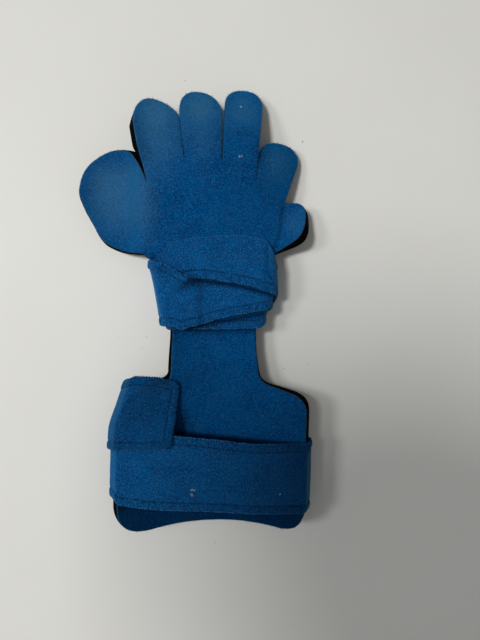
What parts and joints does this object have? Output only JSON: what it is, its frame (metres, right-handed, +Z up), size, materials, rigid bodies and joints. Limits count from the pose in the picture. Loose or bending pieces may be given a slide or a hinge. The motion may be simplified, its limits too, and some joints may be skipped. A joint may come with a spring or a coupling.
{
  "type": "resting hand splint",
  "caption": "Padded resting hand splint with finger, thumb and side lobes, a waisted wrist, a troughed forearm pad and two wound fabric straps, lying face up.",
  "frame": {"origin": "bottom centre of the whole, on the surface that it lies on", "axes": "+Y from the forearm end to the fingertips, +Z up out of the fabric face, +X towards the little finger side"},
  "size_m": [0.1696, 0.3204, 0.0352],
  "materials": {
    "face_loop_fabric": "brushed loop pile",
    "black_foam": "matte",
    "strap_fabric": "brushed loop pile with overlocked edges"
  },
  "bodies": {
    "root": {"face_fabric": "face_loop_fabric", "foam_core": "black_foam", "wrist_strap": "strap_fabric", "forearm_strap": "strap_fabric"}
  },
  "joints": []
}
